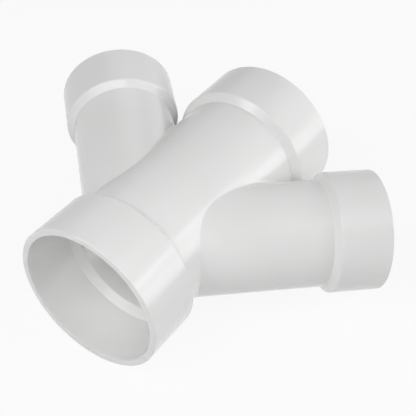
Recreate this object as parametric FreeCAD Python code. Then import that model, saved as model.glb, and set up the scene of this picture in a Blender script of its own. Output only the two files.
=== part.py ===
import FreeCAD, Part
import math
import os
from FreeCAD import Vector

# Reducing double wye for drain pipe: a straight run with a larger pipe socket at each end, and two
# smaller sockets on branches that leave the run at 45 degrees, one to each side. All sizes are in mm.

# Pipes that are cemented in, by their outside radius, and the gap around them
run_pipe_r = 57.15
branch_pipe_r = 44.45
socket_gap = 0.06

# Sockets: depth to the pipe stop, wall at the mouth, and how far the hub goes on behind the stop
run_socket_depth = 44.45
branch_socket_depth = 38.1
run_hub_wall = 5.59
branch_hub_wall = 4.69
run_hub_behind_stop = 2.45
branch_hub_behind_stop = 3.1

# Waterways and the wall around them
run_bore_r = 51.1
branch_bore_r = 39.0
run_body_wall = 4.9
branch_body_wall = 4.5

# Lengths from the point where the axes meet to the mouths, and the angle between the axes
outlet_reach = 69.6
inlet_reach = 181.5
branch_reach = 187.2
branch_angle = 45.0

# Moulded shape: draft of the hubs, sloping shoulders, sloping pipe stops, bevelled and rounded edges
hub_draft = 0.25
run_shoulder_length = 5.1
branch_shoulder_length = 5.4
shoulder_edge_r = 2.2
stop_length = 5.9
mouth_bevel = 0.6
lead_in_width = 0.4
lead_in_length = 2.6
stop_edge_r = 2.0
crotch_r = 1.5

# Sizes that follow
run_socket_r = run_pipe_r + socket_gap
branch_socket_r = branch_pipe_r + socket_gap
run_hub_r = run_socket_r + run_hub_wall
branch_hub_r = branch_socket_r + branch_hub_wall
run_body_r = run_bore_r + run_body_wall
branch_body_r = branch_bore_r + branch_body_wall
run_hub_length = run_socket_depth + run_hub_behind_stop
branch_hub_length = branch_socket_depth + branch_hub_behind_stop


def turned(outline):
    """Solid of revolution about X from corners (along, out)."""
    points = [Vector(along, out, 0) for along, out in outline]
    return Part.Face(Part.makePolygon(points + points[:1])).revolve(Vector(0, 0, 0), Vector(1, 0, 0), 360)


def hub(mouth, inward, hub_r, length, shoulder_length, body_r):
    """Outside of a socket on X: bevelled mouth, drafted hub, rounded edge and a sloping shoulder that
    ends on the body. The mouth is at X = mouth, and inward is 1 or -1, the way in along X."""
    drafted_r = hub_r - length * math.tan(math.radians(hub_draft))
    shoulder_edge = mouth + inward * length
    solid = turned([(mouth, 0), (mouth, hub_r - mouth_bevel), (mouth + inward * mouth_bevel, hub_r),
                    (shoulder_edge, drafted_r), (shoulder_edge + inward * shoulder_length, body_r),
                    (shoulder_edge + inward * shoulder_length, 0)])
    rings = [edge for edge in solid.Edges
             if isinstance(edge.Curve, Part.Circle) and abs(edge.Curve.Center.x - shoulder_edge) < 1e-6]
    return solid.makeFillet(shoulder_edge_r, rings)


def core(mouth, inward, socket_r, depth, bore_r):
    """Corners of the space in a socket, from its mouth inward: bevel, wall, sloping pipe stop."""
    return [(mouth - inward, 0), (mouth - inward, socket_r + lead_in_width),
            (mouth, socket_r + lead_in_width), (mouth + inward * lead_in_length, socket_r),
            (mouth + inward * depth, socket_r), (mouth + inward * (depth + stop_length), bore_r)]


def rounded_stops(solid, bore_r, stop_ends):
    """A core whose rings at the given places on X, where a pipe stop meets the waterway, are rounded."""
    rings = [edge for edge in solid.Edges if isinstance(edge.Curve, Part.Circle)
             and abs(edge.Curve.Radius - bore_r) < 1e-6
             and any(abs(edge.Curve.Center.x - end) < 1e-6 for end in stop_ends)]
    return solid.makeFillet(stop_edge_r, rings)


def on_both_sides(shape):
    """Two copies of a shape drawn along X, swung to the branches' directions."""
    copies = []
    for angle in (branch_angle, -branch_angle):
        copy = shape.copy()
        copy.rotate(Vector(0, 0, 0), Vector(0, 0, 1), angle)
        copies.append(copy)
    return copies


def is_round_wall(face, radius):
    """True for a cylindrical face of this radius."""
    return isinstance(face.Surface, Part.Cylinder) and abs(face.Surface.Radius - radius) < 1e-6


# Bodies of the run and the branches, from pipe stop to pipe stop, joined at the junction
run_start = run_socket_depth - outlet_reach
run_length = outlet_reach + inlet_reach - 2 * run_socket_depth
run_body = Part.makeCylinder(run_body_r, run_length, Vector(run_start, 0, 0), Vector(1, 0, 0))
branch_body = Part.makeCylinder(branch_body_r, branch_reach - branch_socket_depth,
                                Vector(0, 0, 0), Vector(1, 0, 0))
outside = run_body.fuse(on_both_sides(branch_body))

# Blend the line around each branch where it leaves the run
crotch_edges = []
for edge in outside.Edges:
    faces = outside.ancestorsOfType(edge, Part.Face)
    if (any(is_round_wall(face, run_body_r) for face in faces)
            and any(is_round_wall(face, branch_body_r) for face in faces)):
        crotch_edges.append(edge)
outside = outside.makeFillet(crotch_r, crotch_edges)

# Hubs at the mouths
branch_hub = hub(branch_reach, -1, branch_hub_r, branch_hub_length, branch_shoulder_length, branch_body_r)
outside = outside.fuse([
    hub(-outlet_reach, 1, run_hub_r, run_hub_length, run_shoulder_length, run_body_r),
    hub(inlet_reach, -1, run_hub_r, run_hub_length, run_shoulder_length, run_body_r),
    *on_both_sides(branch_hub)])

# Open the sockets and the waterways, which meet at the junction
outlet_core = core(-outlet_reach, 1, run_socket_r, run_socket_depth, run_bore_r)
inlet_core = core(inlet_reach, -1, run_socket_r, run_socket_depth, run_bore_r)
mouth_core = core(branch_reach, -1, branch_socket_r, branch_socket_depth, branch_bore_r)
run_core = rounded_stops(turned(outlet_core + inlet_core[::-1]), run_bore_r,
                         [outlet_core[-1][0], inlet_core[-1][0]])
branch_core = rounded_stops(turned([(0, 0), (0, branch_bore_r)] + mouth_core[::-1]), branch_bore_r,
                            [mouth_core[-1][0]])
fitting = outside.cut([run_core, *on_both_sides(branch_core)])

# Origin on the floor below the middle of the run, which lies on its two larger hubs
fitting.translate(Vector((outlet_reach - inlet_reach) / 2, 0, run_hub_r))

os.makedirs("parts", exist_ok=True)
print("solids", len(fitting.Solids), "faces", len(fitting.Faces), "valid", fitting.isValid())
fitting.exportStep("parts/double_wye.step")
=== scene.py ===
# %% [markdown]
# # A moulded pipe fitting
#
# The object is a reducing double wye for drain pipe: one piece of white vinyl with a straight run
# and two smaller branches, and a socket at each of its four mouths. It comes out of one mould, so
# there is nothing to assemble. What makes it look real is the flow of one tube into another, the
# small rounds that every moulded edge has, and a smooth, softly shining skin.
#
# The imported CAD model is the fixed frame. Its place and size are kept, and a smoother skin made
# here stands for it in the pictures.

# %% Load the frame
import math

import bmesh
import bpy
import numpy as np
from mathutils import Matrix, Vector


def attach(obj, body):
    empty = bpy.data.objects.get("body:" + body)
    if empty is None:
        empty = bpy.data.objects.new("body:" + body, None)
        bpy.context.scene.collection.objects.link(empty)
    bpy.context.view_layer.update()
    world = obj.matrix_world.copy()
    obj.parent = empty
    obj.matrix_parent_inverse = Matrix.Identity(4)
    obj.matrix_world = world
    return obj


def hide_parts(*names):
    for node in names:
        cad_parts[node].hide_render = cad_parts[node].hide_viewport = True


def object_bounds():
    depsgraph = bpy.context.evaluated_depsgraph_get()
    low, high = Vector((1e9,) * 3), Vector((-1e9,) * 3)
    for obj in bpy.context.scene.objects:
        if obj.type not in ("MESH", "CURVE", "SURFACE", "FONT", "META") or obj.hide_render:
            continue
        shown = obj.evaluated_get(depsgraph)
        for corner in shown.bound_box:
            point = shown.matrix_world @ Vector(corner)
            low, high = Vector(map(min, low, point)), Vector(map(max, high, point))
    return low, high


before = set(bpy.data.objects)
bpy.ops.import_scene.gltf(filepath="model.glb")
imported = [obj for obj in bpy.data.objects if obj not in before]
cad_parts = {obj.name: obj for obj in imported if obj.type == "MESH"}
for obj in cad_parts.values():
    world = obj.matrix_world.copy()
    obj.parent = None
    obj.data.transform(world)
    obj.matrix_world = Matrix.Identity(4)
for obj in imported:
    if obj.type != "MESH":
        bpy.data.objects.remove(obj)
cad_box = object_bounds()
print("nodes", sorted(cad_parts), "box", cad_box)

# %% [markdown]
# ## Sizes
#
# The skin is worked out from the sizes that the solid has, so both agree to a fraction of a
# millimetre. They are in millimetres, measured from the point where the three axes meet: the run
# lies along X with its outlet at minus X, and the branches leave at 45 degrees in the level plane.
# For each size of pipe the first four numbers are radii, and the last three are lengths.

# %% Sizes of the fitting
RUN = dict(socket=57.21, bore=51.1, body=56.0, hub=62.8, depth=44.45, length=46.9, shoulder=5.1)
BRANCH = dict(socket=44.51, bore=39.0, body=43.5, hub=49.2, depth=38.1, length=41.2, shoulder=5.4)
OUTLET, INLET, BRANCH_MOUTH = 69.6, 181.5, 187.2
BRANCH_ANGLE = math.radians(45.0)
HUB_DRAFT = math.tan(math.radians(0.25))
MOUTH_BEVEL, LEAD_IN_WIDTH, LEAD_IN_LENGTH = 0.6, 0.4, 2.6
STOP_LENGTH = 5.9

MM = 0.001
ORIGIN = np.array([(OUTLET - INLET) / 2, 0.0, RUN["hub"]])
frame_length = (cad_box[1][0] - cad_box[0][0]) / MM
print("run", round(OUTLET + INLET, 2), "mm long, and", round(frame_length, 2), "mm in the frame")

# %% [markdown]
# ## Rounded corners
#
# On a moulded part no corner is sharp. A Bevel modifier could round them on the finished mesh, but
# the sockets are turned from an outline, so it is simpler and more exact to put an arc of the right
# radius into each corner of that outline. A point close to either end of an arc holds the shading
# flat on the straight runs.

# %% Round the corners of an outline
ARC_STEPS, HOLD = 5, 0.25


def swung(start, end, angle, part):
    """Arm that swings from start to end at an even rate. At a part of the way it is the sum of
    start times sin((1 - part) * angle) and end times sin(part * angle), over sin(angle)."""
    return (np.sin((1 - part) * angle) * start + np.sin(part * angle) * end) / np.sin(angle)


def rounded(corners):
    """Outline through corners given as (along, out, radius), each cut by an arc that touches both
    of its runs: for a corner with half angle h the arc starts radius / tan(h) before it, and its
    centre lies on the bisector at radius / sin(h). The two ends keep no radius."""
    corners = np.array(corners, float)
    places, radii = corners[:, :2], corners[1:-1, 2]
    points = [places[0]]
    for before, corner, after, radius in zip(places, places[1:], places[2:], radii):
        back = (before - corner) / np.linalg.norm(before - corner)
        on = (after - corner) / np.linalg.norm(after - corner)
        half_angle = math.acos(np.clip(back @ on, -1, 1)) / 2
        reach = radius / math.tan(half_angle)
        centre = corner + (back + on) / np.linalg.norm(back + on) * radius / math.sin(half_angle)
        start, end = corner + back * reach - centre, corner + on * reach - centre
        part = np.linspace(0, 1, ARC_STEPS + 1)[:, None]
        arc = centre + swung(start, end, math.pi - 2 * half_angle, part)
        points += [corner + back * (reach + HOLD), *arc, corner + on * (reach + HOLD)]
    points.append(places[-1])
    return np.array(points)


print("a square corner rounded by 1 mm", rounded([(0, 0, 0), (5, 0, 1), (5, 5, 0)]).round(2).tolist())

# %% [markdown]
# ## Outline of a socket
#
# A socket is turned, so it is fully told by one outline: over the body, up the sloping shoulder,
# along the hub, round the mouth, and back inside over the lead-in and the pipe stop to the
# waterway. The same function serves both sizes of pipe.

# %% Outline of a socket
FOOT_ROUND, SHOULDER_ROUND, MOUTH_ROUND = 0.6, 2.2, 0.3
LEAD_IN_ROUND, STOP_FOOT_ROUND, STOP_EDGE_ROUND = 0.8, 0.6, 2.0
ON_BODY, IN_BORE = 0.9, 2.0


def socket_outline(size):
    """Outline of one socket as (distance in from the mouth, radius). It starts ON_BODY before the
    foot of the shoulder and ends IN_BORE behind the pipe stop. The hub's radius shrinks by its
    length times the draft."""
    foot = size["length"] + size["shoulder"]
    stop = size["depth"] + STOP_LENGTH
    return rounded([(foot + ON_BODY, size["body"], 0),
                    (foot, size["body"], FOOT_ROUND),
                    (size["length"], size["hub"] - size["length"] * HUB_DRAFT, SHOULDER_ROUND),
                    (MOUTH_BEVEL, size["hub"], MOUTH_ROUND),
                    (0, size["hub"] - MOUTH_BEVEL, MOUTH_ROUND),
                    (0, size["socket"] + LEAD_IN_WIDTH, MOUTH_ROUND),
                    (LEAD_IN_LENGTH, size["socket"], LEAD_IN_ROUND),
                    (size["depth"], size["socket"], STOP_FOOT_ROUND),
                    (stop, size["bore"], STOP_EDGE_ROUND),
                    (stop + IN_BORE, size["bore"], 0)])


run_outline, branch_outline = socket_outline(RUN), socket_outline(BRANCH)
print("points in a socket's outline", len(run_outline), "widest", run_outline[:, 1].max().round(2), "mm")

# %% [markdown]
# ## Directions around a branch
#
# Everything about a branch is told by how far out along its axis a point lies and how far it has
# turned around it. Only the left branch is made, because the right one is its mirror image. A turn
# has as many steps as the rings and rows that it will meet on the run: two half rings and two
# sides. It starts where one of those half rings does.

# %% Directions around the left branch
HALF_RING_STEPS, SIDE_STEPS = 64, 32
BRANCH_STEPS = 2 * (HALF_RING_STEPS + SIDE_STEPS)
FIRST_TURN = math.radians(-60.0)

along = np.array([math.cos(BRANCH_ANGLE), math.sin(BRANCH_ANGLE), 0])
across = np.array([math.sin(BRANCH_ANGLE), -math.cos(BRANCH_ANGLE), 0])
up = np.array([0.0, 0.0, 1.0])
turn = np.linspace(0, 2 * math.pi, BRANCH_STEPS + 1) + FIRST_TURN
spokes = np.cos(turn)[:, None] * across + np.sin(turn)[:, None] * up
print("steps around a branch", BRANCH_STEPS)

# %% [markdown]
# ## Where a branch leaves the run
#
# Two pipes that meet leave a saddle-shaped line, and the mould rounds it. Think of a small ball
# that rolls around the branch and touches both pipes: its centre keeps one distance from each
# axis, and the surface between the two touching points is part of the ball. That gives the blend
# exactly, for any turn around the branch, and so a tidy grid, which a Boolean and a Bevel don't.
# A smaller ball, rolled inside the wall, takes the sharpness off the edge where the waterways meet.

# %% Roll a ball along the saddle line
CROTCH_ROUND, WATERWAY_ROUND = 1.5, 0.8
CROTCH_STEPS, WATERWAY_STEPS = 12, 5


def saddle(run_radius, branch_radius, ball, steps):
    """Grid (step, turn) from the run to the branch. The ball's centre is the point of the branch
    ray at branch_radius + ball that lies run_radius + ball from the run's axis, and a step swings
    the direction from the run's contact to the branch's contact at an even rate."""
    spread, reach = branch_radius + ball, run_radius + ball
    sideways = np.sqrt(reach**2 - (spread * np.sin(turn))**2)
    out = (sideways + spread * np.cos(turn) * math.cos(BRANCH_ANGLE)) / math.sin(BRANCH_ANGLE)
    centre = out[:, None] * along + spread * spokes
    to_run = -centre * [0, 1, 1] / reach
    angle = np.arccos(np.clip((to_run * -spokes).sum(1), -1, 1))[:, None]
    part = np.linspace(0, 1, steps + 1)[:, None, None]
    return centre + ball * swung(to_run, -spokes, angle, part)


blend = saddle(RUN["body"], BRANCH["body"], CROTCH_ROUND, CROTCH_STEPS)
inner_edge = saddle(RUN["bore"], BRANCH["bore"], WATERWAY_ROUND, WATERWAY_STEPS)
print("crotch from x", blend[0, :, 0].min().round(1), "to", blend[0, :, 0].max().round(1))

# %% [markdown]
# ## Wall of the run
#
# What is left is plain tube. On the run it is the half tube around the branch's opening: unrolled
# flat, that is a rectangle with an egg-shaped hole, and rows lead from the hole to the rectangle's
# edge. The rectangle's corners fall at 60 and 120 degrees around the branch, either way, which
# gives its four sides the same count of steps as the rings and rows that they meet. The rows lie
# closest beside the blend, where the shape turns fastest.

# %% Wall of the run around a branch
RUN_ROWS, RUN_FIRST_GAP = 24, 0.35
half_turn = np.linspace(-math.pi / 2, math.pi / 2, HALF_RING_STEPS + 1)


def graded(steps, first):
    """Numbers from 0 to 1 whose gaps grow evenly: first * t + (1 - first) * t**2 for even steps of
    t, so that the gap at 0 is about the share first of an even one."""
    part = np.linspace(0, 1, steps + 1)
    return first * part + (1 - first) * part**2


def run_wall(hole, radius, low, high):
    """Grid (row, turn) on the half tube between x = low and x = high, around the hole: each point
    of the hole is joined to its point of the rectangle by a straight line in (x, angle)."""
    sides = np.linspace(high, low, SIDE_STEPS + 1)
    edge_x = np.concatenate([np.full(HALF_RING_STEPS, high), sides[:-1],
                             np.full(HALF_RING_STEPS, low), sides[::-1]])
    edge_angle = np.concatenate([half_turn[:-1], np.full(SIDE_STEPS, math.pi / 2),
                                 half_turn[::-1][:-1], np.full(SIDE_STEPS + 1, -math.pi / 2)])
    part = graded(RUN_ROWS, RUN_FIRST_GAP)[:, None]
    x = (1 - part) * hole[:, 0] + part * edge_x
    angle = (1 - part) * np.arctan2(hole[:, 2], hole[:, 1]) + part * edge_angle
    return np.stack([x, radius * np.cos(angle), radius * np.sin(angle)], -1)


first, last = run_outline[0, 0], run_outline[-1, 0]
outer_wall = run_wall(blend[0], RUN["body"], first - OUTLET, INLET - first)
inner_wall = run_wall(inner_edge[0], RUN["bore"], last - OUTLET, INLET - last)
print("points in the run's outer wall", outer_wall[..., 0].size)

# %% [markdown]
# ## Wall of a branch, and the turned sockets
#
# A branch's tube is ruled from the blend's last row to the socket's first ring. The sockets are
# their outline turned about an axis: half a turn on the run, because the mirror image brings the
# other half, and a whole turn on the branch.

# %% Wall of the branch and the four sockets
BRANCH_ROWS, BRANCH_FIRST_GAP = 12, 0.4


def branch_wall(start, radius, inward):
    """Grid (row, turn) on the branch from the row start to the ring that lies inward from its
    mouth. Each point slides out along the branch from the one to the other."""
    part = graded(BRANCH_ROWS, BRANCH_FIRST_GAP)[:, None]
    out = (1 - part) * (start @ along) + part * (BRANCH_MOUTH - inward)
    return out[..., None] * along + radius * spokes


def turned_run(outline, mouth, inward):
    """Grid (outline point, angle) of a half ring about X, on the side of the left branch: X is
    mouth + inward * distance, and Y and Z are the radius times the angle's cosine and sine."""
    ring = np.stack([0 * half_turn, np.cos(half_turn), np.sin(half_turn)], -1)
    return (mouth + inward * outline[:, 0])[:, None, None] * [1, 0, 0] + outline[:, 1, None, None] * ring


def turned_branch(outline):
    """Grid (outline point, turn) of a ring about the branch's axis: the distance out times the
    axis, plus the radius times the spoke."""
    return (BRANCH_MOUTH - outline[:, 0])[:, None, None] * along + outline[:, 1, None, None] * spokes


outer_branch = branch_wall(blend[-1], BRANCH["body"], branch_outline[0, 0])
inner_branch = branch_wall(inner_edge[-1], BRANCH["bore"], branch_outline[-1, 0])
branch_socket = turned_branch(branch_outline)
outlet_socket = turned_run(run_outline, -OUTLET, 1)
inlet_socket = turned_run(run_outline, INLET, -1)
print("reach of the branch socket", branch_socket.max((0, 1)).round(1))

# %% [markdown]
# ## One closed skin
#
# The fitting is the same on both sides of its run, so the second half is the first one with Y
# turned round. Grid edges that meet hold the same points, and merging them closes the skin. Some
# grids are wound to face inwards, so the normals are worked out again once the skin is whole. The
# count of open edges and the volume show whether it closed.

# %% Join the grids of both halves
def grid_faces(rows, columns, start):
    """Four corners for each cell of a grid whose first point has the number start: the cell's own
    point, the next in its row, and the two below them in the next row."""
    index = start + np.arange(rows * columns).reshape(rows, columns)
    return np.stack([index[:-1, :-1], index[:-1, 1:], index[1:, 1:], index[1:, :-1]], -1).reshape(-1, 4)


half = [outer_wall, blend, outer_branch, branch_socket,
        inner_wall, inner_edge, inner_branch,
        outlet_socket, inlet_socket]
points, faces, count = [], [], 0
for side in (1, -1):
    for grid in half:
        points.append(grid.reshape(-1, 3) * [1, side, 1])
        faces.append(grid_faces(*grid.shape[:2], count))
        count += len(points[-1])
points = (np.concatenate(points) + ORIGIN) * MM
mesh = bpy.data.meshes.new("fitting_skin")
mesh.from_pydata(points, [], np.concatenate(faces))
print("points before merging", count)

# %% Close the skin
MERGE_DISTANCE = 0.002 * MM
CUBIC_CM_PER_M3 = 1e6

bm = bmesh.new()
bm.from_mesh(mesh)
bmesh.ops.remove_doubles(bm, verts=bm.verts, dist=MERGE_DISTANCE)
bmesh.ops.recalc_face_normals(bm, faces=bm.faces)
open_edges = sum(not edge.is_manifold for edge in bm.edges)
volume = bm.calc_volume(signed=True) * CUBIC_CM_PER_M3
bm.to_mesh(mesh)
bm.free()
mesh.shade_smooth()
skin = bpy.data.objects.new("fitting_skin", mesh)
bpy.context.scene.collection.objects.link(skin)
print("faces", len(mesh.polygons), "open edges", open_edges, "volume cm3", round(volume, 2))

# %% [markdown]
# ## White moulded vinyl
#
# Pipe vinyl is an opaque, slightly warm white with a satin skin. Its colour is almost even, and a
# broad noise moves it by a small amount. The noise is read at the object's own coordinates, in
# metres, so that it has its real size and no seam, which a picture laid around four tubes would
# have.

# %% Colour of the vinyl
VINYL_SHADE, VINYL_LIGHT = (0.845, 0.845, 0.84, 1), (0.875, 0.875, 0.87, 1)
TINT_SCALE = 14.0
NOISE_LOW, NOISE_HIGH = 0.3, 0.7


def noise(tree, coords, scale, detail, roughness=0.5):
    """Noise texture node on the given coordinates, with features about 1 / scale metres wide."""
    node = tree.nodes.new("ShaderNodeTexNoise")
    node.inputs["Scale"].default_value = scale
    node.inputs["Detail"].default_value = detail
    node.inputs["Roughness"].default_value = roughness
    tree.links.new(coords, node.inputs["Vector"])
    return node.outputs["Fac"]


def ranged(tree, value, low, high):
    """Map Range node that spreads the middle of a noise, where most of it lies, over low to high."""
    node = tree.nodes.new("ShaderNodeMapRange")
    ends = zip(("From Min", "From Max", "To Min", "To Max"), (NOISE_LOW, NOISE_HIGH, low, high))
    for name, number in ends:
        node.inputs[name].default_value = number
    tree.links.new(value, node.inputs["Value"])
    return node.outputs["Result"]


vinyl = bpy.data.materials.new("moulded_vinyl")
vinyl.use_nodes = True
tree = vinyl.node_tree
shader = tree.nodes["Principled BSDF"]
coords = tree.nodes.new("ShaderNodeTexCoord").outputs["Object"]
tint = tree.nodes.new("ShaderNodeMix")
tint.data_type = "RGBA"
tint.inputs["A"].default_value = VINYL_SHADE
tint.inputs["B"].default_value = VINYL_LIGHT
tree.links.new(ranged(tree, noise(tree, coords, TINT_SCALE, detail=3.0), 0, 1), tint.inputs["Factor"])
tree.links.new(tint.outputs["Result"], shader.inputs["Base Color"])
print("tint patches about", round(1 / TINT_SCALE / MM), "mm wide")

# %% [markdown]
# ## Shine and surface
#
# The skin took its satin shine from a polished mould, a little uneven where it has been handled.
# Seen close, it has a soft waviness and a fine grain. All of these are far too shallow to model,
# so noise moves the roughness, and two Bump nodes, one on top of the other, tilt the light by the
# waves and the grain at their real height.

# %% Shine, waviness and grain of the vinyl
VINYL_IOR = 1.53
SHINE_SCALE, GLOSSIEST, DULLEST = 40.0, 0.15, 0.19
WAVE_SCALE, WAVE_HEIGHT = 120.0, 0.03 * MM
GRAIN_SCALE, GRAIN_HEIGHT = 2500.0, 0.004 * MM


def bump(tree, height, distance, normal=None):
    """Bump node that raises the surface by height times distance, on top of another normal."""
    node = tree.nodes.new("ShaderNodeBump")
    node.inputs["Distance"].default_value = distance
    tree.links.new(height, node.inputs["Height"])
    if normal:
        tree.links.new(normal, node.inputs["Normal"])
    return node.outputs["Normal"]


handled = noise(tree, coords, SHINE_SCALE, detail=4.0, roughness=0.6)
tree.links.new(ranged(tree, handled, GLOSSIEST, DULLEST), shader.inputs["Roughness"])
shader.inputs["IOR"].default_value = VINYL_IOR
waviness = bump(tree, noise(tree, coords, WAVE_SCALE, detail=1.0), WAVE_HEIGHT)
grain = bump(tree, noise(tree, coords, GRAIN_SCALE, detail=2.0), GRAIN_HEIGHT, waviness)
tree.links.new(grain, shader.inputs["Normal"])
print("nodes in the vinyl", len(tree.nodes))

# %% [markdown]
# ## The skin takes the solid's place
#
# The skin rides on the only body. It stands for the solid, which is hidden in the pictures.

# %% Put the skin in the solid's place
skin.data.materials.append(vinyl)
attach(skin, "root")
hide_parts("double_wye")
print("materials on the skin", [material.name for material in skin.data.materials])

# %% [markdown]
# ## White for the camera and for reflections
#
# The photograph has a plain white background. The camera sees both the floor and the world behind
# it near white, so no lamp has to be brighter for that. Light Path tells which rays get the white:
# those of the camera, and those mirrored or bent by the object, so that its shine shows the same
# white room. All other rays see plain paper and a dim room, so it is the lamps that light the
# object.

# %% Nodes that give chosen rays a white
WHITE = 1.0


def math_node(tree, operation, first, second):
    """Math node of two values, each a socket or a number."""
    node = tree.nodes.new("ShaderNodeMath")
    node.operation = operation
    for value, socket in zip((first, second), node.inputs):
        if isinstance(value, bpy.types.NodeSocket):
            tree.links.new(value, socket)
        else:
            socket.default_value = value
    return node.outputs[0]


def mixed(tree, share, first, second):
    """Mix Shader node that goes from the first shader to the second by a share from 0 to 1."""
    node = tree.nodes.new("ShaderNodeMixShader")
    for value, socket in zip((share, first, second), node.inputs):
        tree.links.new(value, socket)
    return node.outputs[0]


def white_rays(tree):
    """Outputs of a Light Path node, and a value that is 1 for the rays that see the white."""
    path = tree.nodes.new("ShaderNodeLightPath").outputs
    seen = math_node(tree, "MAXIMUM", path["Is Camera Ray"], path["Is Glossy Ray"])
    return path, math_node(tree, "MAXIMUM", seen, path["Is Transmission Ray"])


print("white has a strength of", WHITE)

# %% [markdown]
# ## Floor
#
# The floor is pale paper that takes the shadow, mixed with a white glow for the rays that see
# white. The larger share is glow, which leaves the shadow as soft and faint as in the photograph.
# Seen from below the floor is left out, so that the underside can be looked at.

# %% Floor
FLOOR_HALF, FLOOR_WHITE_SHARE = 4.0, 0.9
PAPER_COLOUR, PAPER_ROUGHNESS = (0.8, 0.8, 0.8, 1), 0.9

floor_corners = [(x * FLOOR_HALF, y * FLOOR_HALF, 0) for x, y in ((-1, -1), (1, -1), (1, 1), (-1, 1))]
floor_mesh = bpy.data.meshes.new("floor")
floor_mesh.from_pydata(floor_corners, [], [(0, 1, 2, 3)])
floor = bpy.data.objects.new("floor", floor_mesh)
bpy.context.scene.collection.objects.link(floor)

pale = bpy.data.materials.new("pale_floor")
pale.use_nodes = True
tree = pale.node_tree
paper = tree.nodes["Principled BSDF"]
paper.inputs["Base Color"].default_value = PAPER_COLOUR
paper.inputs["Roughness"].default_value = PAPER_ROUGHNESS
glow = tree.nodes.new("ShaderNodeEmission")
glow.inputs["Strength"].default_value = WHITE
path, white = white_rays(tree)
glow_share = math_node(tree, "MULTIPLY", white, FLOOR_WHITE_SHARE)
lit = mixed(tree, glow_share, paper.outputs[0], glow.outputs[0])
backfacing = tree.nodes.new("ShaderNodeNewGeometry").outputs["Backfacing"]
from_below = math_node(tree, "MULTIPLY", backfacing, path["Is Camera Ray"])
clear = tree.nodes.new("ShaderNodeBsdfTransparent")
shown = mixed(tree, from_below, lit, clear.outputs[0])
tree.links.new(shown, tree.nodes["Material Output"].inputs["Surface"])
floor_mesh.materials.append(pale)
print("floor", 2 * FLOOR_HALF, "m wide, white share", FLOOR_WHITE_SHARE)

# %% [markdown]
# ## World
#
# Behind the floor's edge the camera sees the world, and the white there has the same strength. For
# the rays that light the object the world is almost dark, because a bright one would wash out the
# shading that tells the tubes apart.

# %% World
ROOM_STRENGTH = 0.02
PURE_WHITE = (1, 1, 1, 1)

world = bpy.data.worlds.new("studio")
bpy.context.scene.world = world
world.use_nodes = True
tree = world.node_tree
room = tree.nodes["Background"]
backdrop = tree.nodes.new("ShaderNodeBackground")
for background, strength in ((room, ROOM_STRENGTH), (backdrop, WHITE)):
    background.inputs["Color"].default_value = PURE_WHITE
    background.inputs["Strength"].default_value = strength
path, white = white_rays(tree)
sky = mixed(tree, white, room.outputs[0], backdrop.outputs[0])
tree.links.new(sky, tree.nodes["World Output"].inputs["Surface"])
print("room strength", ROOM_STRENGTH)

# %% [markdown]
# ## Soft lamps
#
# Large lamps a short way off give the soft, even light of a product picture. Four of them stand in
# front, around the outlet.

# %% Lamps in front
LAMP_TARGET = Vector((0, 0, 0.06))


def lamp(name, around, above, distance, width, height, power):
    """Area lamp that looks at the middle of the fitting from an angle around Z (0 is plus X) and an
    angle above the floor, both in degrees. Its place is the target plus the distance times the
    direction (cos above * cos around, cos above * sin around, sin above)."""
    data = bpy.data.lights.new(name, "AREA")
    data.shape = "RECTANGLE"
    data.size, data.size_y = width, height
    data.energy = power
    around, above = math.radians(around), math.radians(above)
    way = Vector((math.cos(above) * math.cos(around), math.cos(above) * math.sin(around), math.sin(above)))
    placed = bpy.data.objects.new(name, data)
    placed.location = LAMP_TARGET + way * distance
    placed.rotation_euler = way.to_track_quat("Z", "Y").to_euler()
    bpy.context.scene.collection.objects.link(placed)


for name, around, above, power in (("front_left", 150, 45, 3.9), ("front", 170, 35, 1.5),
                                   ("front_top", 170, 55, 2.7), ("front_right", 215, 45, 3.5)):
    lamp(name, around, above, distance=1.3, width=0.6, height=0.6, power=power)
print("lamps in front", len(bpy.data.lights))

# %% [markdown]
# ## Tall soft lamp on the right
#
# The crisp line along the near socket is the mirror image of a tall soft lamp on the right, and it
# starts where that lamp ends at the top. Its glow fades towards the floor, so it is made of three
# flat lamps, one above the other, with the strongest on top. A lower and wider lamp behind them
# fills in the rest of that side.

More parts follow.
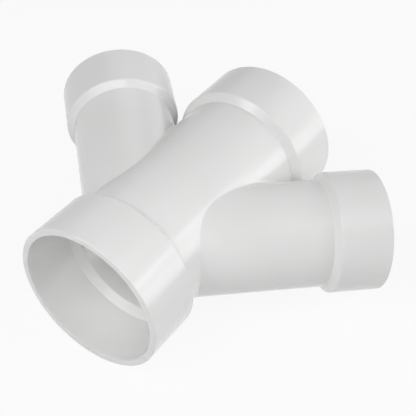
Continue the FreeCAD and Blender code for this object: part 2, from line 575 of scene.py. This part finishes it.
# %% Lamps on the right
for name, above, power in (("right_top", 28, 1.6), ("right_middle", 18.4, 1.05), ("right_bottom", 8.8, 0.9)):
    lamp(name, 303, above, distance=1.6, width=0.74, height=0.27, power=power)
lamp("right_wide", 308, 9, distance=1.7, width=2.0, height=0.6, power=5.6)
print("lamps in all", len(bpy.data.lights))

# %% [markdown]
# ## Lamps over and behind
#
# One large lamp hangs over the right side. Three more stand behind the inlet, so that the far
# sides of the hubs don't sink into the dark.

# %% Lamps over and behind
lamp("over_right", 290, 45, distance=1.6, width=1.2, height=1.2, power=4.0)
lamp("far_right", 345, 20, distance=1.6, width=1.4, height=1.4, power=4.8)
lamp("far_top", 0, 60, distance=1.6, width=1.4, height=1.4, power=1.0)
lamp("far_left", 45, 30, distance=1.6, width=0.8, height=0.8, power=0.8)
print("power of all lamps", round(sum(light.energy for light in bpy.data.lights), 2), "W")

# %% [markdown]
# ## Camera
#
# The camera's place and lens come from fitting the outlines of the four sockets in the
# photograph to the sizes above. It stands above the outlet, to the right of it, and leans a
# little, because the photograph does. The small shift puts the middle of the picture where the
# fit found it.

# %% Camera
LENS_PIXELS, PICTURE_PIXELS, SENSOR = 913.6, 416, 36.0
SIDE_SHIFT, NEAREST = -0.05, 0.02
CAMERA_PLACE = Vector((-0.447595, -0.269658, 0.598048))
RIGHT = Vector((0.5533, -0.82554, 0.11107))
DOWN = Vector((-0.55282, -0.46367, -0.69239))
FORWARD = Vector((0.6231, 0.3217, -0.71293))

camera_data = bpy.data.cameras.new("camera")
camera_data.sensor_width = SENSOR
camera_data.lens = LENS_PIXELS / PICTURE_PIXELS * SENSOR
camera_data.shift_x = SIDE_SHIFT
camera_data.clip_start = NEAREST
camera = bpy.data.objects.new("camera", camera_data)
rotation = Matrix((RIGHT, -DOWN, -FORWARD)).transposed().to_4x4()
camera.matrix_world = Matrix.Translation(CAMERA_PLACE) @ rotation
bpy.context.scene.collection.objects.link(camera)
bpy.context.scene.camera = camera
bpy.context.scene.view_settings.view_transform = "Standard"
print("lens", round(camera_data.lens, 1), "mm, distance", round(CAMERA_PLACE.length, 3), "m")
